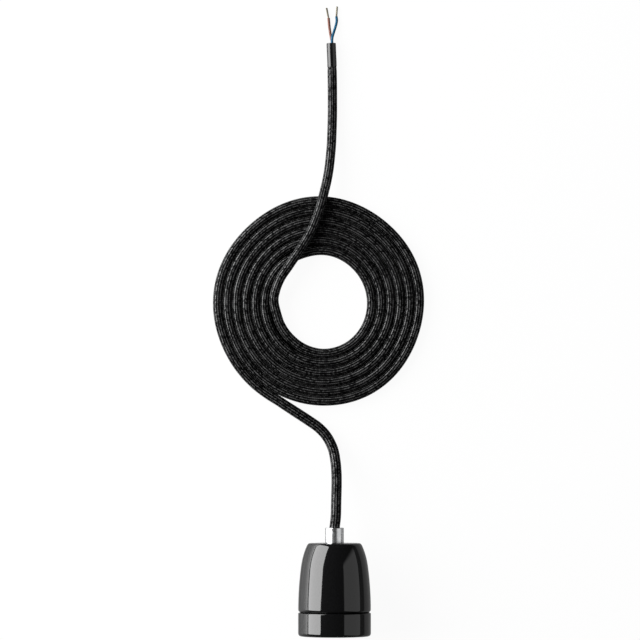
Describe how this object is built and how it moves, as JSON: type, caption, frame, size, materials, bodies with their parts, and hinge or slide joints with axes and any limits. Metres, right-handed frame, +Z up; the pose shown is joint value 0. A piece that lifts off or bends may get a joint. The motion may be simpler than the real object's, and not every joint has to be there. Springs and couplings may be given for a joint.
{
  "type": "pendant cord set",
  "caption": "Black porcelain screw-base lamp holder with a metal cord grip, on a black textile cord laid in a flat coil, with its far end stripped for wiring.",
  "frame": {"origin": "on the floor, midway between the holder's rim and the mouth of its cord grip, under the holder's axis", "axes": "+Y along the holder's axis from the rim to the cord grip and on to the coil, +Z up from the floor that the set lies on"},
  "size_m": [0.1376, 0.4091, 0.047],
  "materials": {
    "glaze": "high gloss black glaze",
    "steatite": "unglazed, matt",
    "nickel": "nickel plated, satin",
    "brass": "plain brass, slightly dull",
    "grip_metal": "polished, fine turning marks",
    "nylon": "moulded, satin",
    "braid": "black rayon braid, soft sheen",
    "shrink": "glossy shrink sleeve",
    "brown_insulation": "smooth insulation",
    "blue_insulation": "smooth insulation",
    "conductor": "bare twisted strands, dull"
  },
  "bodies": {
    "root": {"porcelain_ring": "glaze", "porcelain_bell": "glaze", "screw_shell": "nickel", "contact_block": "steatite", "centre_contact": "brass", "live_terminal": "brass", "live_terminal_screw": "brass", "centre_contact_screw": "brass", "neutral_terminal": "brass", "neutral_terminal_screw": "brass", "shell_screw": "brass", "grip_body": "grip_metal", "grip_bush": "nylon", "grip_screw": "grip_metal", "lock_nut": "nickel", "lock_washer": "nickel", "cord_inner_end": "braid", "inner_brown_core": "brown_insulation", "inner_brown_conductor": "conductor", "inner_blue_core": "blue_insulation", "inner_blue_conductor": "conductor", "cord_lead": "braid", "cord_coil": "braid", "cord_tail": "braid", "end_sleeve": "shrink", "brown_core": "brown_insulation", "blue_core": "blue_insulation", "brown_conductor": "conductor", "blue_conductor": "conductor"}
  },
  "joints": []
}
